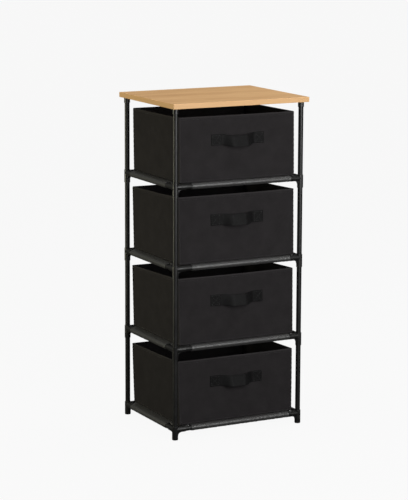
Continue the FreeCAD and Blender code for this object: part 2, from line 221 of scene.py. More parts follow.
class Surface(Nodes):
    # A new material's nodes. Constants go on the shader's own sockets; finish fills the ones that vary.
    def __init__(self, name, roughness, specular, **constants):
        materials[name] = bpy.data.materials.new(name)
        materials[name].use_nodes = True
        super().__init__(materials[name].node_tree)
        self.shader = self.nodeTree.nodes["Principled BSDF"]
        constants.update(Roughness=roughness, Specular_IOR_Level=specular)
        for socket, value in constants.items():
            self.shader.inputs[socket.replace("_", " ")].default_value = value

    def place(self):
        return self.add("TexCoord").outputs["Object"]

    def bonded(self, pitch):
        # Bonded fibres laid flat on each face.
        flat = self.group(flatPlace, Vector=self.place())["Vector"]
        return self.group(nonWoven, Vector=flat, Pitch=pitch)

    def dusted(self, colour, amount):
        # The colour under settled dust, and the dust's mask.
        settled = self.group(dust, Vector=self.place(), Amount=amount)["Mask"]
        return self.mixColour(settled, colour, dustColour), settled

    def finish(self, colour, height, strength, depth, roughness=None):
        # Relief comes from a height from 0 to 1, its strength and its real depth.
        bump = self.add("Bump", {"Height": height, "Strength": strength, "Distance": depth})
        self.fill(self.shader.inputs["Base Color"], colour)
        self.fill(self.shader.inputs["Normal"], bump.outputs[0])
        if roughness:
            self.fill(self.shader.inputs["Roughness"], roughness)


# Groups that several materials share: a place in, and masks, values or another place out

def newGroup(name, outputs, **numbers):
    group = bpy.data.node_groups.new(name, "ShaderNodeTree")
    for side, titles in (("INPUT", ["Vector", *numbers]), ("OUTPUT", outputs)):
        for title in titles:
            kind = "NodeSocketVector" if title == "Vector" else "NodeSocketFloat"
            socket = group.interface.new_socket(title, in_out=side, socket_type=kind)
            if title in numbers:
                socket.default_value = numbers[title]
    return Nodes(group), group.nodes.new("NodeGroupInput").outputs


def closeGroup(tree, *values):
    for socket, value in zip(tree.nodeTree.nodes.new("NodeGroupOutput").inputs, values):
        tree.fill(socket, value)
    return tree.nodeTree


def buildFlatPlace():
    # The two object axes that lie in the face: X and Z on the front, Y and Z on the sides, X and Y level.
    tree, given = newGroup("flatPlace", ["Vector"])
    least = 0.7  # share of a face's normal along the axis that it looks to
    place, facing = tree.split(given[0]), tree.facing()
    sideways, level = (tree.above(tree.absolute(facing[axis]), least) for axis in (0, 2))
    across, up = tree.mix(sideways, place[0], place[1]), tree.mix(level, place[2], place[1])
    return closeGroup(tree, tree.joined(across, up))


def buildNonWoven():
    # Bonded dots in offset rows, loose fibres lying every way, and a slow mottle.
    tree, given = newGroup("nonWoven", ["Dots", "Fibres", "Mottle"], Pitch=2 * mm)
    across, up = tree.ripples(given[0], given[1])
    dots = tree.calculate("POWER", tree.absolute(tree.times(across, up)), 2)
    one = tree.noise(given[0], (700, 2600, 1), 2, 0.6, 0.6, (0, 0, 0.5))
    other = tree.noise(given[0], (2600, 700, 1), 2, 0.6, 0.6, (0, 0, 0.4))
    mottle = tree.noise(given[0], 24, 4, 0.6)
    return closeGroup(tree, dots, tree.calculate("MAXIMUM", one, other), mottle)


def buildWeave():
    # Two sets of rounded ribs, each on top in its own squares of a checker.
    tree, given = newGroup("weave", ["Height", "Thread"], Pitch=1 * mm, Slant=0)
    turned = tree.add("VectorRotate", {"Vector": given[0], "Angle": given[2]}, rotation_type="Z_AXIS")
    turned = turned.outputs[0]
    across, up = tree.ripples(turned, given[1])
    over = tree.above(tree.times(across, up), 0)
    ribs = tree.mix(over, tree.absolute(across), tree.absolute(up))
    threads = tree.noise(turned, (300, 2400, 1), 3)
    return closeGroup(tree, tree.calculate("POWER", ribs, 0.6), threads)


def buildFineGrain():
    # Small even lumps, as in sprayed paint and moulded plastic, and slow patches.
    tree, given = newGroup("fineGrain", ["Height", "Patches"], Size=1 * mm)
    lumps = tree.noise(given[0], tree.calculate("DIVIDE", 1, given[1]), 3, 0.55)
    return closeGroup(tree, lumps, tree.noise(given[0], 30, 3, 0.6, 0.4))


def buildDust():
    # Thin dust and lint on what faces up, thicker in patches.
    tree, given = newGroup("dust", ["Mask"], Amount=0.3)
    upward = tree.remap(tree.facing()[2], 0.2, 1)
    patches = tree.remap(tree.noise(given[0], 45, 5, 0.7), 0.42, 0.72)
    specks = tree.remap(tree.noise(given[0], 900, 1), 0.66, 0.74)
    amount = tree.calculate("MAXIMUM", tree.times(patches, 0.35), specks)
    return closeGroup(tree, tree.times(tree.times(amount, upward), given[1]))


flatPlace = buildFlatPlace()
nonWoven = buildNonWoven()
weave = buildWeave()
fineGrain = buildFineGrain()
dust = buildDust()
dustColour = (0.32, 0.3, 0.27, 1)


# Materials

oakLook = {
    "deep": (0.43, 0.228, 0.088, 1),
    "mid": (0.6, 0.354, 0.154, 1),
    "pale": (0.7, 0.441, 0.208, 1),
    "stops": (0.18, 0.48, 0.78),  # tones of deep, mid and pale
    "pore": (0.3, 0.155, 0.06, 1),
    "poreShare": 0.45,  # of the pore's colour
    "edgeBand": (0.81, 0.486, 0.224, 1),
    "edgeShare": 0.85,  # of the edging strip's colour
    "edgeDepth": 0.6 * mm,
    "ringTurns": 36,  # flame rings in the slow figure, in radians
    "ringShare": 0.13,  # of the tone
    "fibreShare": 0.66,  # of the tone
    "roughness": 0.46,
    "relief": 0.15 * mm,
}


def oakLaminate():
    # Printed oak grain along the board: slow flame figure, fine fibres and short dark pores. The edging strip
    # on all four edges is paler, with its grain along each edge.
    look = oakLook
    tree = Surface("oakLaminate", look["roughness"], 0.4)
    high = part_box("top_board")[1]
    place = tree.split(tree.place())
    onSide, onFront = (tree.above(tree.absolute(place[axis]), high[axis] - look["edgeDepth"])
                       for axis in (0, 1))
    along, across = tree.mix(onSide, place[0], place[1]), tree.mix(onSide, place[1], place[0])
    grain = tree.joined(along, across, place[2])
    figure = tree.noise(grain, (1.3, 20, 20), 2, 0.45, 0.5)
    rings = tree.remap(tree.calculate("SINE", tree.times(figure, look["ringTurns"])), -1, 1)
    fibres = tree.noise(grain, (6, 300, 300), 5, 0.66, 0.25)
    broad = tree.remap(tree.noise(grain, (1.1, 12, 12)), 0.3, 0.7, -0.01, 0.17)
    pores = tree.remap(tree.noise(grain, (55, 1500, 1500)), 0.6, 0.7)
    pores = tree.times(pores, tree.remap(fibres, 0.4, 0.62))
    tone = tree.weighted((rings, look["ringShare"]), (fibres, look["fibreShare"]), (broad, 1))
    ramp = tree.add("ValToRGB", {0: tone})
    stops = ramp.color_ramp.elements
    stops.new(look["stops"][1])
    for stop, position, tint in zip(stops, look["stops"], ("deep", "mid", "pale")):
        stop.position, stop.color = position, look[tint]
    colour = tree.mixColour(tree.times(pores, look["poreShare"]), ramp.outputs[0], look["pore"])
    edging = tree.times(tree.calculate("MAXIMUM", onSide, onFront), look["edgeShare"])
    colour = tree.mixColour(edging, colour, look["edgeBand"])
    gloss = tree.remap(fibres, 0.3, 0.7, look["roughness"] - 0.06, look["roughness"] + 0.08)
    tree.finish(colour, tree.weighted((fibres, 0.5), (pores, -1)), 0.35, look["relief"], gloss)


def grainedFinish(name, base, paleTone, roughness, specular, size, depth, dusty, **constants):
    # Paint or moulded plastic: fine grain in relief and gloss, slow patches in the colour, a little dust.
    tree = Surface(name, roughness, specular, **constants)
    grain = tree.group(fineGrain, Vector=tree.place(), Size=size)
    colour = tree.mixColour(tree.remap(grain["Patches"], 0.35, 0.65), base, paleTone)
    colour, settled = tree.dusted(colour, dusty)
    gloss = tree.remap(grain["Patches"], 0.3, 0.7, roughness - 0.04, roughness + 0.05)
    gloss = tree.weighted((gloss, 1), (tree.remap(grain["Height"], 0.35, 0.65), 0.05), (settled, 0.4))
    tree.finish(colour, grain["Height"], 0.5, depth, gloss)


def nonWovenCloth(name, dark, light, pitch, dusty, foldSheen=None):
    # Bonded cloth: pressed dots, stray fibres and a slow mottle, and a painted highlight on marked folds: they
    # are painted paler, where light catches the fold, with a little fuzz from rubbing.
    tree = Surface(name, 0.86, 0.1)
    cloth = tree.bonded(pitch)
    share = tree.weighted((tree.remap(cloth["Fibres"], 0.42, 0.78), 0.55),
                          (tree.remap(cloth["Mottle"], 0.3, 0.7), 0.32), (cloth["Dots"], -0.22))
    colour = tree.mixColour(share, dark, light)
    # painted highlight: a paler colour on the marked folds stands in for light catching them
    if foldSheen:
        fold = tree.add("Attribute", attribute_name="paleTone").outputs["Fac"]
        fold = tree.times(fold, tree.remap(cloth["Fibres"], 0.4, 0.62, 0.45, 1))
        colour = tree.mixColour(fold, colour, foldSheen)
    colour = tree.dusted(colour, dusty)[0]
    height = tree.weighted((cloth["Fibres"], 0.7), (cloth["Dots"], -1))
    tree.finish(colour, height, 0.6, 0.22 * mm, tree.remap(cloth["Dots"], 0, 1, 0.9, 0.7))


def wovenCloth(name, dark, light, pitch, slant, relief, roughness, shine, sheen):
    # Woven cloth or webbing on the piece's own cloth places: thread relief and uneven threads.
    tree = Surface(name, roughness, shine, Sheen_Weight=sheen, Sheen_Roughness=0.45)
    place = tree.add("UVMap", uv_map="cloth").outputs[0]
    cloth = tree.group(weave, Vector=place, Pitch=pitch, Slant=slant)
    share = tree.weighted((cloth["Height"], 0.6), (tree.remap(cloth["Thread"], 0.3, 0.7), 0.4))
    colour = tree.dusted(tree.mixColour(share, dark, light), 0.05)[0]
    gloss = tree.remap(cloth["Thread"], 0.3, 0.7, roughness - 0.06, roughness + 0.08)
    tree.finish(colour, tree.weighted((cloth["Thread"], 0.3), (cloth["Height"], 1)), 0.7, relief, gloss)


def twistedThread(name, dark, light):
    # Sewing thread: fine slanted ply.
    tree = Surface(name, 0.6, 0.5, Sheen_Weight=0.3)
    ply = tree.noise(tree.place(), (2500, 2500, 900), 1, turn=(0.6, 0.6, 0.6))
    tree.finish(tree.mixColour(tree.remap(ply, 0.35, 0.65), dark, light), ply, 0.5, 0.1 * mm)


def paperBoard():
    # Grey-brown recycled board with long pulp fibres.
    tree = Surface("paperBoard", 0.9, 0.2)
    pulp = tree.bonded(4 * mm)
    colour = tree.mixColour(pulp["Mottle"], (0.15, 0.125, 0.09, 1), (0.27, 0.225, 0.165, 1))
    colour = tree.mixColour(tree.remap(pulp["Fibres"], 0.5, 0.8, 0, 0.4), colour, (0.36, 0.31, 0.24, 1))
    tree.finish(colour, pulp["Fibres"], 0.4, 0.1 * mm)


def screwSteel():
    # Zinc-plated steel with turning marks across the screw.
    tree = Surface("screwSteel", 0.34, 0.5, Metallic=1)
    marks = tree.noise(tree.place(), (120, 120, 5200), 3)
    colour = tree.mixColour(marks, (0.42, 0.42, 0.43, 1), (0.66, 0.65, 0.62, 1))
    tree.finish(colour, marks, 0.4, 0.04 * mm, tree.remap(marks, 0.3, 0.7, 0.26, 0.42))


oakLaminate()
grainedFinish("tubePaint", (0.0065, 0.0065, 0.0065, 1), (0.0095, 0.0095, 0.009, 1), 0.36, 0.42, 0.9 * mm,
              0.04 * mm, 0.04, Coat_Weight=0.04, Coat_Roughness=0.2)
grainedFinish("connectorPlastic", (0.007, 0.007, 0.007, 1), (0.0105, 0.0105, 0.01, 1), 0.29, 0.5, 0.45 * mm,
              0.02 * mm, 0.05)
screwSteel()
# drawerCloth's last colour is a painted highlight on the rim's fold and the upright corners, with a little fuzz
# from rubbing
nonWovenCloth("drawerCloth", (0.0182, 0.0165, 0.0172, 1), (0.0368, 0.0336, 0.0349, 1), 2.2 * mm, 0.03,
              (0.05, 0.047, 0.048, 1))
nonWovenCloth("insertCloth", (0.0155, 0.0142, 0.0148, 1), (0.0315, 0.029, 0.03, 1), 2.2 * mm, 0.04)
wovenCloth("shelfCloth", (0.022, 0.0218, 0.0213, 1), (0.044, 0.0436, 0.0428, 1), 1.1 * mm, 0, 0.1 * mm,
           0.34, 0.9, 0.05)
wovenCloth("webbing", (0.003, 0.0029, 0.003, 1), (0.0072, 0.0069, 0.0071, 1), 1.5 * mm, 0.6, 0.25 * mm,
           0.5, 0.12, 0.02)
twistedThread("thread", (0.01, 0.01, 0.01, 1), (0.03, 0.03, 0.03, 1))
paperBoard()

nodeFinishes = {"oakLaminate": "top_board", "tubePaint": ("post_", "rails_"), "screwSteel": "board_screws",
                "connectorPlastic": ("connector_", "top_caps", "foot_glides")}
for nodeName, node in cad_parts.items():
    for finish, starts in nodeFinishes.items():
        if nodeName.startswith(starts):
            for holder in node.material_slots:
                holder.material = materials[finish]
print("materials:", len(materials))


# Stitches: each cut below has its own pitch, and the share of it that one stitch takes

thread = {"width": 0.5 * mm, "proud": 0.15 * mm, "rings": 5, "sides": 6, "tip": 0.12}


def stitchRow(cut, places, along, outward):
    # Each stitch is an egg-shaped bead: a ring swept from end to end whose size follows a half circle.
    along, outward = (np.broadcast_to(direction, places.shape) for direction in (along, outward))
    sweep = np.linspace(thread["tip"], 1 - thread["tip"], thread["rings"])[:, None] * math.pi
    turn = (np.arange(thread["sides"]) + 0.5) / thread["sides"] * tau
    reach = -np.cos(sweep) * cut["stitchShare"] * cut["stitchPitch"] / 2 + 0 * turn
    radius = np.sin(sweep) * thread["width"] / 2
    side, rise = radius * np.cos(turn), radius * np.sin(turn) + thread["proud"]
    across = np.cross(outward, along)
    points = (places[:, None, None] + along[:, None, None] * reach[..., None]
              + across[:, None, None] * side[..., None] + outward[:, None, None] * rise[..., None])
    count = thread["rings"] * thread["sides"]
    quads = closedRings(points[0])[1] + (np.arange(len(places)) * count)[:, None, None]
    return points.reshape(-1, 3), quads.reshape(-1, 4)


def levelRow(cut, axis, start, stop, fixed, height):
    # A straight row on a level piece, along X for axis 0 and Y for axis 1. Height is a function of X and Y.
    travel = np.arange(start + cut["seamEnd"], stop - cut["seamEnd"], cut["stitchPitch"])
    pair = (travel, fixed + 0 * travel) if axis == 0 else (fixed + 0 * travel, travel)
    places = np.stack([*pair, height(*pair) + 0 * travel], -1)
    return stitchRow(cut, places, np.eye(3)[axis], (0, 0, 1))


# Shelves: one flat cut with four flaps, each wrapped round its rail and sewn back under the sheet

shelfCut = {
    "thickness": 0.9 * mm,
    "hemRadius": 8.15 * mm,  # middle of the cloth round the tube
    "wrapPastBottom": 0.96,  # radians beyond straight down before the flap leaves the tube
    "turnBack": 3 * mm,  # bend where the flap meets the sheet
    "flapBelow": 1.15,  # from the sheet's middle down to the sewn flap's, in thicknesses
    "flapPoints": 4000,  # places along the flap where its line is worked out
    "seamAllowance": 9 * mm,
    "seamInset": 18 * mm,  # stitch line, from the rail's middle
    "seamEnd": 2 * mm,  # stitch line's end, from the hem's end
    "stitchPitch": 3.4 * mm,
    "stitchShare": 0.72,
    "step": 3.6 * mm,
    "hemStep": 0.62,  # in steps
    "leastStep": 0.3,  # in steps, beside a line that has to be there
    "gather": 0.55 * mm,  # height of the small gathers along a hem
    "gatherLengths": (9.5 * mm, 11 * mm, 14 * mm, 29 * mm),
    "gatherSlant": 0.4,  # travel along the hem for each travel past the rail
    "gatherReach": 8 * mm,  # past the rail, to their full height
    "sag": 0.9 * mm,
    "freeEdge": 10 * mm,  # from a rail's middle to the sheet's open edge at a corner
    "droop": 3 * mm,  # fall of the sheet towards that corner
    "droopReach": 34 * mm,
    "curl": 4.6 * mm,  # fall of the open edge itself
    "curlReach": 6 * mm,
    "curlStart": 5 * mm,  # from the hem's end to the full curl
}


def flapLine():
    # The flap's section from its heading: it turns steadily round the tube, runs straight up under the sheet,
    # and turns level again. Outward and upward places are the running sums of the heading's cosine and sine.
    cut = shelfCut
    radius, back = cut["hemRadius"], cut["turnBack"]
    past = cut["wrapPastBottom"]
    turn = math.pi + past
    rise = radius * (1 - math.cos(turn)) - cut["flapBelow"] * cut["thickness"] - back * (1 - math.cos(past))
    ends = np.cumsum([0, radius * turn, rise / math.sin(past), back * past, cut["seamAllowance"]])
    run = np.linspace(0, ends[-1], cut["flapPoints"])
    heading = np.interp(run, ends, [0, turn, turn, math.pi, math.pi])
    return run, np.cumsum(np.cos(heading)) * run[1], radius - np.cumsum(np.sin(heading)) * run[1]


flapRun, flapOut, flapUp = flapLine()


def spansOf(nodeName):
    # Where the front, back, left and right hems start and stop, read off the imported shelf's outermost points.
    points = np.array([vertex.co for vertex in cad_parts[nodeName].data.vertices])
    edge = 0.5 * mm
    spans = []
    for axis in (1, 0):
        across, along = points[:, axis], points[:, 1 - axis]
        for side in (along[across < across.min() + edge], along[across > across.max() - edge]):
            spans.append((side.min(), side.max()))
    return spans


def makeShelf(tier):
    cut = shelfCut
    nodeName = f"shelf_{tier}"
    rng = np.random.default_rng(40 + tier)
    low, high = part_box(nodeName)
    tube = (high.z - low.z) / 2
    railX, railY, railZ = high.x - tube, high.y - tube, (low.z + high.z) / 2
    openX, openY = railX - cut["freeEdge"], railY - cut["freeEdge"]
    sheetZ = railZ + cut["hemRadius"]
    spans = spansOf(nodeName)
    front, back, left, right = spans

    def intoCorner(x, y):
        # How far a place lies into one of the four corners that the hems stop short of.
        depths = [np.minimum(front[0] - x, left[0] - y), np.minimum(x - front[1], right[0] - y),
                  np.minimum(x - back[1], y - right[1]), np.minimum(back[0] - x, y - left[1])]
        return np.maximum(np.max(depths, axis=0), 0)

    def lines(rail, opened, hemEnds):
        # Cut positions along one way: steady between the rails and closer round them, with a line at each
        # hem's end, each rail, and four over each open edge's curl.
        curled = opened - cut["curlReach"] * np.array([0, 0.3, 0.6, 1])
        stops = np.array([*hemEnds, *curled, *-curled, -rail, rail])
        flap = rail + spacedOut(0, flapRun[-1], cut["hemStep"] * cut["step"])
        marks = np.concatenate([-flap[::-1], spacedOut(-rail, rail, cut["step"]), flap])
        marks = marks[np.abs(marks[:, None] - stops).min(axis=1) > cut["leastStep"] * cut["step"]]
        return np.unique(np.round(np.concatenate([marks, stops]), 7))

    def wrapped(place, rail):
        # For a place on the flat cut: how far past the rail it is there, and once wrapped, how far out from
        # the rail's middle, its place across and its fall.
        beyond = np.maximum(np.abs(place) - rail, 0)
        away = np.sign(place) * np.interp(beyond, flapRun, flapOut) * (beyond > 0)
        fall = np.interp(beyond, flapRun, flapUp) - cut["hemRadius"]
        return beyond, away, np.clip(place, -rail, rail) + away, fall

    def gathers(along, beyond):
        # Small uneven waves aslant across a hem, stronger down the tube, as the seam draws the cloth in.
        phase = rng.uniform(0, tau, 4)
        run = along + cut["gatherSlant"] * beyond
        waves = sum(np.sin(run * tau / length + shift + 5 * np.sin(along * 9 + shift))
                    for length, shift in zip(cut["gatherLengths"], phase)) / 4
        return cut["gather"] * waves * np.clip(beyond / cut["gatherReach"], 0.3, 1)

    def sagAt(x, y):
        return cut["sag"] * limited(1 - (x / railX) ** 2) * limited(1 - (y / railY) ** 2)

    cutX, cutY = lines(railX, openX, front + back), lines(railY, openY, left + right)
    p, q = np.meshgrid(cutX, cutY, indexing="ij")
    beyondX, awayX, x, fallX = wrapped(p, railX)
    beyondY, awayY, y, fallY = wrapped(q, railY)
    swell = gathers(q, beyondX) + gathers(p, beyondY)
    level = (beyondX == 0) & (beyondY == 0)
    corner = intoCorner(p, q)
    droop = cut["droop"] * limited(corner / cut["droopReach"]) ** 1.3
    reach = np.maximum(np.abs(p) - openX, np.abs(q) - openY) / cut["curlReach"] + 1
    droop += cut["curl"] * limited(reach) ** 1.4 * smooth(limited(corner / cut["curlStart"]))
    z = sheetZ + fallX + fallY - np.where(level, sagAt(x, y) + droop, 0)
    outward = unit(np.stack([awayX, awayY, z - railZ], -1))
    points = np.stack([x, y, z], -1) + outward * np.where(level, 0, swell)[..., None]

    # a cell is cloth unless it lies in one of the four cut corners, outside the sheet's open edge
    cellX, cellY = np.meshgrid((cutX[1:] + cutX[:-1]) / 2, (cutY[1:] + cutY[:-1]) / 2, indexing="ij")
    cloth = (intoCorner(cellX, cellY) == 0) | ((np.abs(cellX) <= openX) & (np.abs(cellY) <= openY))
    area = float((np.outer(np.diff(cutX), np.diff(cutY)) * cloth).sum())
    used, quads = np.unique(gridQuads(len(cutX), len(cutY))[cloth.ravel()], return_inverse=True)
    shell = points.reshape(-1, 3)[used], quads.reshape(-1, 4)
    clothPlaces = np.stack([p, q], -1).reshape(-1, 2)[used]
    shelf = makePiece(nodeName, [shell], "shelfCloth", "frame", clothPlaces)
    solid = shelf.modifiers.new("thickness", "SOLIDIFY")
    solid.thickness, solid.offset = cut["thickness"], 0

    # a row of stitches through the sheet beside each hem
    rows = []
    topZ, seamX, seamY = sheetZ + cut["thickness"] / 2, railX - cut["seamInset"], railY - cut["seamInset"]
    for axis, (start, stop), fixed in zip((0, 0, 1, 1), spans, (-seamY, seamY, -seamX, seamX)):
        rows.append(levelRow(cut, axis, start, stop, fixed, lambda x, y: topZ - sagAt(x, y)))
    seams = makePiece(f"shelf_{tier}_stitches", rows, "thread", "frame")
    flat = (2 * (railX + flapRun[-1]), 2 * (railY + flapRun[-1]))
    return flat, area


for tier in tiers:
    shelfFlat, shelfArea = makeShelf(tier)
print("shelves: flat cut", [round(side, 4) for side in shelfFlat], "area", round(shelfArea, 4))


# Drawers: an outer wall and a lining in one cloth, folded over the rim, with a board between them

drawerCut = {
    "cornerRadius": 4.5 * mm,
    "liningRadius": 1.2 * mm,
    "wall": 4.4 * mm,
    "floor": 1.2 * mm,
    "bottomRound": 2.2 * mm,
    "liningRound": 1 * mm,
    "floorMargin": 45 * mm,  # how far the modelled floor cloth runs in before one flat panel
    "step": 4.2 * mm,
    "rimSeam": 8 * mm,  # stitch line below the rim
    "footSeam": 5 * mm,  # stitch line above the floor
    "cornerSeam": 5 * mm,  # stitch line beside each upright corner
    "seamWidth": 0.9 * mm,
    "seamDepth": 0.45 * mm,
    "pucker": 0.28 * mm,
    "puckerPitch": 13 * mm,
    "puckerReach": 9 * mm,
    "stitchPitch": 3.6 * mm,
    "stitchShare": 0.7,
    "waveTurn": 1.25,  # radians from a side's middle to its end, for the slowest of four waves
    "waveSlant": 1.6,  # radians that wave shifts from foot to rim
    "waveShare": 0.6,  # of the swell's size, for each wave
    "stiffFrom": 0.86,  # share of the height from which the rim keeps the swell steady
    "sideLimit": 2.5 * mm,  # the side walls pass the front posts with room to spare
    "rimSheenDepth": 3 * mm,  # how far down from the rim its fold is painted paler, a painted highlight
    "cornerSheen": 0.25,  # how strongly the upright corners are painted paler, a painted highlight
    "board": 2 * mm,  # thickness of the wall boards
    "boardGap": 2 * mm,  # side boards' ends, from the corner's centre
    "boardRows": 24,
    "boardColumns": 40,
}
# How each drawer has settled, in millimetres for tiers 1 to 4: the rim leans back and the foot forward, the
# foot draws in at the sides, the rim is raised as a whole, tipped up at the front and down at the back, and
# dips along each side, the walls swell, and the soft sides and back stand proud.
drawerShapes = {
    "lean": (3, 3, 3, 2.4),
    "taper": (3.4, 1.5, 1.1, 0.4),
    "raise": (-4.3, 0.9, 2.3, -2.4),
    "tip": (4, 6, 4.9, 1.6),
    "swell": (1.3, 1.1, 1.2, 1),
    "dip": (0.8, 0.9, 0.7, 0.5),
    "spread": (2, 1.6, 1.6, 0),
    "rear": (3, 3, 0.5, 0),
}


def shapeOf(shapes, tier):
    return {feature: values[tier - 1] * mm for feature, values in shapes.items()}


class Drawer:
    # One drawer's size and place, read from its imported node, and how it has settled.
    def __init__(self, tier):
        self.tier, self.name = tier, f"drawer_{tier}"
        self.low, self.high = (np.array(corner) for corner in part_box(self.name + "_fabric"))
        self.shape = shapeOf(drawerShapes, tier)
        self.low[0] -= self.shape["spread"]
        self.high[:2] += self.shape["spread"], self.shape["rear"]
        self.half = (self.high - self.low)[:2] / 2
        self.middle = (self.high + self.low)[:2] / 2
        self.height = self.high[2] - self.low[2]
        rng = np.random.default_rng(70 + tier)
        self.phases = rng.uniform(0, tau, (4, 4))
        self.weights = rng.uniform(0.45, 1, (4, 4))

    def reach(self, side):
        # From a side's middle to its corners' centres.
        return self.half[side % 2] - drawerCut["cornerRadius"]

    def cornerSeam(self, side):
        # From a side's middle to the stitch lines beside its corners.
        return self.half[side % 2] - drawerCut["cornerSeam"]


def sideColumns(drawer, side, share):
    # Places along one side, share -1 to 1 between its corner centres: 0 front, 1 right, 2 back, 3 left.
    angle = (side - 1) * math.pi / 2
    normal = np.round([math.cos(angle), math.sin(angle)])
    tangent = np.array([-normal[1], normal[0]])
    return {
        "centre": normal + share[..., None] * tangent,
        "normal": np.broadcast_to(normal, share.shape + (2,)),
        "share": share,
        "side": np.full(share.shape, side),
        "inward": (1 - np.abs(share)) * drawer.reach(side),
    }


def rimColumns(drawer):
    # Columns round the whole drawer from the left's middle, with a quarter circle at each corner.
    cut = drawerCut
    parts = []
    for side in range(4):
        length, seam = drawer.reach(side), drawer.cornerSeam(side)
        places = spacedOut(-length, length, cut["step"], [-seam, seam], cut["seamWidth"])
        straight = sideColumns(drawer, side, places / length)
        turns = np.linspace(0, math.pi / 2, 6)[1:-1] + (side - 1) * math.pi / 2
        # the corner turns about the side's last place, which is the corner seam's outermost line
        corner = {key: np.repeat(values[-1:], len(turns), axis=0) for key, values in straight.items()}
        corner.update(normal=np.stack([np.cos(turns), np.sin(turns)], -1), share=1 + 0 * turns,
                      inward=0 * turns)
        parts += [straight, corner]
    columns = {key: np.concatenate([part[key] for part in parts]) for key in parts[0]}
    back = len(parts[7]["share"]) + len(parts[6]["share"]) // 2
    columns = {key: np.roll(values, back, axis=0) for key, values in columns.items()}
    radius = cut["cornerRadius"]
    outline = columns["centre"] * (drawer.half - radius) + columns["normal"] * radius
    steps = np.linalg.norm(np.roll(outline, -1, axis=0) - outline, axis=1)
    columns["travel"] = np.concatenate([[0], np.cumsum(steps)[:-1]])
    return columns


def clothPoint(drawer, columns, inset, height, face):
    # The settled cloth at an inset from the nominal outside and a height above the foot. Face is 1 outside,
    # -1 on the lining and 0 on the floor. Box place, plus slow swell and seam relief along the wall's normal,
    # plus lean, taper and the rim's rise and dip.
    cut, shape = drawerCut, drawer.shape
    radius = np.maximum(cut["cornerRadius"] - inset, cut["liningRadius"])
    centre, normal, share, side = (columns[key] for key in ("centre", "normal", "share", "side"))
    flat = centre * (drawer.half - (inset + radius)[..., None]) + normal * radius[..., None]
    rise = limited(height / drawer.height)

    waves = 0
    for order in range(4):
        phase, weight = drawer.phases[side, order], drawer.weights[side, order]
        turn = (order + 1) * cut["waveTurn"] * share + (cut["waveSlant"] - order) * rise
        waves = waves + weight * np.cos(turn + phase)
    window = (1 - share ** 4) * np.sin(math.pi * np.clip(rise, 0, cut["stiffFrom"]) ** 1.2) ** 0.8
    swell = shape["swell"] * cut["waveShare"] * waves * window
    proud = (side % 2 == 1) & (swell > 0)
    swell = np.where(proud, cut["sideLimit"] * np.tanh(swell / cut["sideLimit"]), swell)

    beside = np.abs(columns["inward"] + cut["cornerRadius"] - cut["cornerSeam"])
    below = np.abs(height - (drawer.height - cut["rimSeam"]))
    above = np.abs(height - cut["footSeam"])
    groove = sum(np.exp(-(away / cut["seamWidth"]) ** 2) for away in (beside, below, above))
    groove = cut["seamDepth"] * np.minimum(groove, 1)
    travel = columns.get("travel", share * 0.2)
    upright = np.cos(height * tau / cut["puckerPitch"] + drawer.phases[side, 0] + 3 * np.sin(height * 31))
    level = np.cos(travel * tau / (1.1 * cut["puckerPitch"]) + 4 * np.sin(travel * 17))
    puckers = ((upright, beside), (level, below), (0.7 * level, above))
    pucker = cut["pucker"] * sum(wave * np.exp(-away / cut["puckerReach"]) for wave, away in puckers)

    place = drawer.middle + flat + normal * (swell + face * (pucker - groove))[..., None]
    draw = 1 - shape["taper"] * (1 - rise) ** 1.4 / drawer.half[0]
    x = drawer.middle[0] + (place[..., 0] - drawer.middle[0]) * draw
    y = place[..., 1] + shape["lean"] * (2 * rise - 1)
    dip = shape["dip"] * (1 - share ** 2) * rise ** 3
    tip = shape["tip"] * flat[..., 1] / drawer.half[1]
    z = drawer.low[2] + height + (shape["raise"] - tip - dip) * rise
    return np.stack(np.broadcast_arrays(x, y, z), -1)


def wallProfile(drawer):
    # Inset, height and face from under the floor, up the outside, over the rim and down the lining.
    cut = drawerCut
    wall, floor, bottom, lining = (cut[key] for key in ("wall", "floor", "bottomRound", "liningRound"))
    half, fold = wall / 2, np.linspace(0, math.pi, 9)[1:-1]
    quarter, margin = np.linspace(0, math.pi / 2, 5), np.linspace(1, 0, 6)[:-1]
    rising, falling = quarter[:-1], quarter[1:]
    seams = [cut["footSeam"], drawer.height - cut["rimSeam"]]
    outer, inner = (spacedOut(start, drawer.height - half, cut["step"], seams, cut["seamWidth"])
                    for start in (bottom, floor + lining))
    pieces = [
        (bottom + (cut["floorMargin"] - bottom) * margin, 0, 0),
        (bottom * (1 - np.sin(rising)), bottom * (1 - np.cos(rising)), np.sin(rising)),
        (0, outer, 1),
        (half * (1 - np.cos(fold)), drawer.height - half + half * np.sin(fold), np.cos(fold)),
        (wall, inner[::-1], -1),
        (wall + lining * (1 - np.cos(falling)), floor + lining * (1 - np.sin(falling)), -np.cos(falling)),
        (wall + lining + (cut["floorMargin"] - wall - lining) * margin[::-1], floor, 0),
    ]
    return np.concatenate([np.broadcast_arrays(*piece) for piece in pieces], axis=1)[..., None]


def makeDrawerCloth(drawer):
    cut = drawerCut
    inset, height, face = wallProfile(drawer)
    columns = rimColumns(drawer)
    rings = clothPoint(drawer, columns, inset + 0 * columns["share"], height, face)
    # painted highlight: the rim's outer half and each upright corner on the outside are painted paler, where
    # light catches the fold and hands and rails rub it
    rim = limited((height - drawer.height + cut["rimSheenDepth"]) / cut["rimSheenDepth"]) * limited(1 + face)
    onCorner = cut["cornerSheen"] * (columns["inward"] < 0.5 * mm) * limited(face)
    paleTone = np.maximum(rim ** 0.5 + 0 * onCorner, onCorner)
    makePiece(drawer.name + "_fabric", [closedRings(rings)], "drawerCloth", drawer.name,
              paleTone=paleTone)


def wallPoint(drawer, side, share, height):
    # A place on the outside of a wall.
    columns = sideColumns(drawer, side, share)
    return clothPoint(drawer, columns, 0 * share, height + 0 * share, 1 + 0 * share)


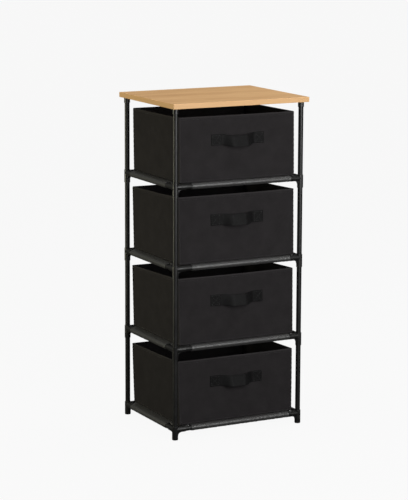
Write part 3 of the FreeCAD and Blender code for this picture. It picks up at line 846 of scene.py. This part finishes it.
def makeDrawerSeams(drawer):
    # Stitches round the rim and the foot and up both sides of each corner.
    cut = drawerCut
    rows = []

    def addRow(side, share, height, upright):
        # The directions along the wall and up it come from four places close by.
        nudge = 1e-4
        around = ((0, 0), (nudge, 0), (-nudge, 0), (0, nudge), (0, -nudge))
        spot, right, left, over, under = (wallPoint(drawer, side, share + x, height + z) for x, z in around)
        along, up = unit(right - left), unit(over - under)
        rows.append(stitchRow(cut, spot, up if upright else along, unit(np.cross(along, up))))

    foot, rim = cut["footSeam"], drawer.height - cut["rimSeam"]
    for side in range(4):
        length = drawer.reach(side)
        share = np.arange(-length, length, cut["stitchPitch"]) / length
        for height in (rim, foot):
            addRow(side, share, height, False)
        rise = np.arange(foot, rim, cut["stitchPitch"])
        for end in (-1, 1):
            addRow(side, end * drawer.cornerSeam(side) / length + 0 * rise, rise, True)
    makePiece(drawer.name + "_stitches", rows, "thread", drawer.name)


def makeWallBoards(drawer):
    # Four stiff boards inside the cloth: each is a grid of outside and inside points, bent with its wall.
    cut = drawerCut
    low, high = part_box(drawer.name + "_wall_boards")
    height = np.linspace(low.z, high.z, cut["boardRows"])[:, None] - drawer.low[2]
    shells = []
    for side in range(4):
        reach = 1 - side % 2 * cut["boardGap"] / drawer.reach(side)
        share = np.linspace(-reach, reach, cut["boardColumns"])
        columns = sideColumns(drawer, side, np.concatenate([share, share[::-1]]))
        inset = cut["wall"] / 2 + cut["board"] / 2 * np.repeat([-1, 1], cut["boardColumns"])
        shells.append(closedRings(clothPoint(drawer, columns, inset + 0 * height, height, 0 * height)))
    makePiece(drawer.name + "_wall_boards", shells, "paperBoard", drawer.name)


# Base inserts: a board in a sewn cloth cover, thicker in the middle than along its sewn edge

insertCut = {
    "flange": 7 * mm,  # sewn edge, with its stitch line in the middle
    "flangeShare": 0.5,  # of the full thickness, at the edge
    "edgeGap": 1.2 * mm,  # to the drawer's lining
    "edgeRound": 0.9 * mm,
    "corner": 6 * mm,
    "quilt": 0.1 * mm,
    "step": 5 * mm,
    "seamWidth": 0.8 * mm,
    "seamEnd": 2 * mm,
    "stitchPitch": 3.6 * mm,
    "stitchShare": 0.7,
}


def makeInsert(drawer):
    # The cover's thickness rises from a thin sewn edge to the full board over the flange. Each ring is the
    # section across the drawer at one depth.
    cut, shape, body = insertCut, drawer.shape, f"insert_{drawer.tier}"
    low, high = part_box(drawer.name + "_base_insert")
    middleZ, halfZ = (low.z + high.z) / 2, (high.z - low.z) / 2
    away = drawerCut["wall"] + cut["edgeGap"]
    halfX = drawer.half[0] - away - shape["taper"]
    # the cover's front and back clear the leaning walls from the floor to the top of its lift
    centreY, halfY = drawer.middle[1], drawer.half[1] - away - shape["lean"]
    inset = cut["flange"] / 2

    def fullness(within):
        return cut["flangeShare"] + (1 - cut["flangeShare"]) * limited(within / cut["flange"]) ** 0.7

    u, v = (spacedOut(-half, half, cut["step"], [inset - half, half - inset], cut["seamWidth"])
            for half in (halfX, halfY))
    edgeX, upper, v = np.concatenate([u, u[::-1]]), np.repeat([1, -1], len(u)), v[:, None]
    inX, inY = halfX - np.abs(edgeX), halfY - np.abs(v)
    within = np.minimum(inX, inY)
    corner = np.hypot(np.maximum(cut["corner"] - inX, 0), np.maximum(cut["corner"] - inY, 0))
    pull = 0.7 * np.maximum(corner - cut["corner"], 0)
    rounding = np.sqrt(1 - (1 - limited(within / cut["edgeRound"])) ** 2) * 0.75 + 0.25
    phase = np.random.default_rng(90 + drawer.tier).uniform(0, tau, 3)
    quilt = cut["quilt"] * np.sin(edgeX * 61 + phase[0]) * np.sin(v * 73 + phase[1])
    x, y = edgeX - np.sign(edgeX) * pull, v - np.sign(v) * pull + centreY
    z = middleZ + upper * halfZ * fullness(within) * rounding
    z += quilt * ((upper > 0) & (within > cut["flange"]))
    rings = np.stack(np.broadcast_arrays(x, y, z), -1)
    makePiece(drawer.name + "_base_insert", [closedRings(rings)], "insertCloth", body)
    rows = []
    seams = np.array([halfX, halfY]) - inset
    for axis, middle, sideways in ((1, centreY, 0), (0, 0, centreY)):
        for fixed in (sideways - seams[1 - axis], sideways + seams[1 - axis]):
            rows.append(levelRow(cut, axis, middle - seams[axis], middle + seams[axis], fixed,
                                 lambda x, y: middleZ + halfZ * fullness(inset)))
    makePiece(drawer.name + "_insert_stitches", rows, "thread", body)


# Strap handles: webbing sewn flat at both ends and bowed out between them

strapCut = {
    "thickness": 1.6 * mm,
    "patch": 33 * mm,
    "rest": 0.1 * mm,  # between the sewn patch and the wall
    "edge": 3 * mm,  # sewn box, from the strap's edges
    "endRound": 0.8 * mm,
    "step": 1.6 * mm,
    "flatPoints": 15,  # across the strap, and over each of its edges
    "edgePoints": 6,
    "slopes": (0.66, 0.7, 0.68, 0.64),  # share of each half that the slope takes, for tiers 1 to 4
    "stitchPitch": 3 * mm,
    "stitchShare": 0.72,
}
# How each strap hangs, in millimetres for tiers 1 to 4: its bow out from the wall, how far the middle drops,
# how far its lower edge swings out, and how far left of the middle its fullest point lies, right if negative.
strapShapes = {
    "bow": (16.5, 16, 16.5, 16.5),
    "drop": (3.2, 2.8, 2.6, 5),
    "swing": (4, 4.5, 4, 4.5),
    "shift": (-3, -4, -2, -4),
}


def makeHandle(drawer):
    # A flat rounded section carried along the strap's line, turned to stay square to it.
    cut, shape = strapCut, shapeOf(strapShapes, drawer.tier)
    nodeName = drawer.name + "_handle"
    low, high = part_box(nodeName)
    half, width = (high.x - low.x) / 2, high.z - low.z
    middle, free = (low.z + high.z) / 2 - drawer.low[2], half - cut["patch"]

    def strapLine(x, across):
        # Middle of the strap's inner face at x along it and a share across it: on the wall where it is sewn,
        # and between the patches standing out by a smooth step up and down that leans to one side.
        place = np.clip(x / free, -1, 1)
        skew = place + shape["shift"] / free * (1 - place ** 2)
        lift = smooth(limited((1 - np.abs(skew)) / cut["slopes"][drawer.tier - 1]))
        line = wallPoint(drawer, 0, x / drawer.reach(0), middle + across * width / 2)
        line[..., 1] -= cut["rest"] + lift * (shape["bow"] - shape["swing"] * across)
        line[..., 2] -= shape["drop"] * lift
        return line

    turn = np.linspace(-math.pi / 2, math.pi / 2, cut["edgePoints"])
    flat = np.linspace(-1, 1, cut["flatPoints"])[1:-1]
    rounded = cut["thickness"] / width
    across = np.concatenate([flat * (1 - rounded), 1 - rounded + rounded * np.cos(turn)])
    depth = np.concatenate([0 * flat, 0.5 + 0.5 * np.sin(turn)])
    across, depth = (np.roll(np.concatenate(halves), len(turn) // 2)
                     for halves in ((across, -across), (depth, 1 - depth)))
    x, across = np.meshgrid(spacedOut(-half, half, cut["step"]), across, indexing="ij")
    line = strapLine(x, across)
    along = unit(np.gradient(line, axis=0))
    outward = unit(np.cross(along, (0, 0, 1)))
    toEnd = limited((half - np.abs(x)) / cut["endRound"])
    ends = np.sqrt(np.maximum(1 - (1 - toEnd) ** 2, 0.05))
    rings = line + outward * ((0.5 + (depth - 0.5) * ends) * cut["thickness"])[..., None]
    clothPlaces = np.stack([x + 1, across * width / 2 + 2 * width * (depth > 0.5)], -1).reshape(-1, 2)
    makePiece(nodeName, [closedRings(rings)], "webbing", drawer.name, clothPlaces)

    # a sewn box with a cross in it on each patch
    rows = []
    box = np.array([cut["patch"] / 2 - cut["edge"], 1 - 2 * cut["edge"] / width])
    corners = np.array([[-1, -1], [1, -1], [1, 1], [-1, 1], [-1, -1], [1, 1], [1, -1], [-1, 1]]) * box
    for patch in (cut["patch"] / 2 - half, half - cut["patch"] / 2):
        for start, stop in zip(corners[:-1], corners[1:]):
            span = (stop - start) * (1, width / 2)
            count = max(2, round(np.hypot(*span) / cut["stitchPitch"]))
            spot = start + (stop - start) * ((np.arange(count) + 0.5) / count)[:, None]
            places = strapLine(patch + spot[:, 0], spot[:, 1])
            places[:, 1] -= cut["thickness"]
            rows.append(stitchRow(cut, places, unit(np.array([span[0], 0, span[1]])), (0, -1, 0)))
    makePiece(nodeName + "_stitches", rows, "thread", drawer.name)


for tier in tiers:
    drawer = Drawer(tier)
    for make in (makeDrawerCloth, makeDrawerSeams, makeWallBoards, makeInsert, makeHandle):
        make(drawer)
    print("drawer", tier, "made")


# Stage, light and camera

stageLook = {
    "side": 60,  # a floor so wide that its far edge stays out of the picture
    "seen": 0.93,  # glow of floor and surroundings as the camera sees them
    "shaded": 0.02,  # share of the floor's tone that shadows can take away
    "floorGlow": 0.055,  # glow that the object gets from the floor
    "roomGlow": 0.14,  # and from the surroundings
}


def seenAndFelt(tree, seen, felt):
    # One shader for the camera and another for the light that reaches the object.
    sight = tree.add("LightPath").outputs["Is Camera Ray"]
    return tree.add("MixShader", {0: sight, 1: felt, 2: seen}).outputs[0]


def makeFloor():
    look = stageLook
    side = look["side"] / 2
    mesh = bpy.data.meshes.new("studioFloor")
    corners = [(x * side, y * side, 0) for x, y in ((-1, -1), (1, -1), (1, 1), (-1, 1))]
    mesh.from_pydata(corners, [], [(0, 1, 2, 3)])
    tree = Surface("studioFloor", 0.95, 0, Base_Color=(look["shaded"],) * 3 + (1,), Emission_Color=white,
                   Emission_Strength=look["seen"])
    felt = tree.add("Emission", {"Color": white, "Strength": look["floorGlow"]}).outputs[0]
    tree.fill(tree.nodeTree.nodes["Material Output"].inputs["Surface"],
              seenAndFelt(tree, tree.shader.outputs[0], felt))
    mesh.materials.append(materials["studioFloor"])
    addObject("studioFloor", mesh)


def makeWorld():
    world = bpy.data.worlds.new("studio")
    bpy.context.scene.world = world
    world.use_nodes = True
    tree = Nodes(world.node_tree)
    tree.nodeTree.nodes.clear()
    seen, felt = (tree.add("Background", {"Color": white, "Strength": stageLook[key]}).outputs[0]
                  for key in ("seen", "roomGlow"))
    tree.add("OutputWorld", {0: seenAndFelt(tree, seen, felt)})


studioLights = {  # place, target, size and power, and the tint of one that isn't white
    "frontKey": ((0.3, -2.3, 1.33), (0.05, 0, 1.33), (1.2, 1.9), 40.5),
    "fill": ((-1.35, -2.6, 0.85), (0, 0, 0.75), (0.5, 1.5), 6),
    "overhead": ((-0.1, -0.2, 3.2), (0, 0, 0.9), (1.4, 1.4), 36),
    "leftStrip": ((-1.75, 0.55, 0.72), (-0.2, -0.1, 0.72), (0.21, 1.26), 14.3, (1, 0.97, 0.72)),
    "rightSoft": ((2.3, 0.1, 2.5), (0.1, 0, 0.5), (1, 1.6), 30),
}


def makeLight(name, place, target, size, power, tint=(1, 1, 1)):
    light = bpy.data.lights.new(name, "AREA")
    light.shape = "RECTANGLE"
    light.size, light.size_y = size
    light.energy = power
    light.color = tint
    aim = (Vector(target) - Vector(place)).to_track_quat("-Z", "Y")
    addObject(name, light).matrix_world = Matrix.Translation(place) @ aim.to_matrix().to_4x4()


def makeCamera():
    # Fitted to the posts, rails, feet and board corners of the 408 by 500 photograph.
    view = {"place": (-2.8141, -5.306, 1.6619), "yaw": 27.74, "pitch": 9.29, "roll": 0.225,
            "focal": 2015.2, "centre": (206, 200), "frame": (408, 500), "sensor": 36, "far": 200}
    yaw, pitch, roll = (math.radians(view[key]) for key in ("yaw", "pitch", "roll"))
    forward = Vector((math.sin(yaw) * math.cos(pitch), math.cos(yaw) * math.cos(pitch), -math.sin(pitch)))
    level = Vector((math.cos(yaw), -math.sin(yaw), 0))
    upright = level.cross(forward)
    right = level * math.cos(roll) + upright * math.sin(roll)
    up = upright * math.cos(roll) - level * math.sin(roll)
    wide, tall = view["frame"]
    camera = bpy.data.cameras.new("photoCamera")
    camera.sensor_width = view["sensor"]
    camera.lens = view["focal"] * view["sensor"] / tall
    camera.shift_x = (wide / 2 - view["centre"][0]) / tall
    camera.shift_y = (view["centre"][1] - tall / 2) / tall
    camera.clip_end = view["far"]
    holder = addObject("photoCamera", camera)
    turned = Matrix((right, up, -forward)).transposed().to_4x4()
    holder.matrix_world = Matrix.Translation(view["place"]) @ turned
    bpy.context.scene.camera = holder


makeFloor()
makeWorld()
for lightName, light in studioLights.items():
    makeLight(lightName, *light)
makeCamera()
bpy.context.scene.view_settings.view_transform = "Standard"
print("stage, lights and camera set")
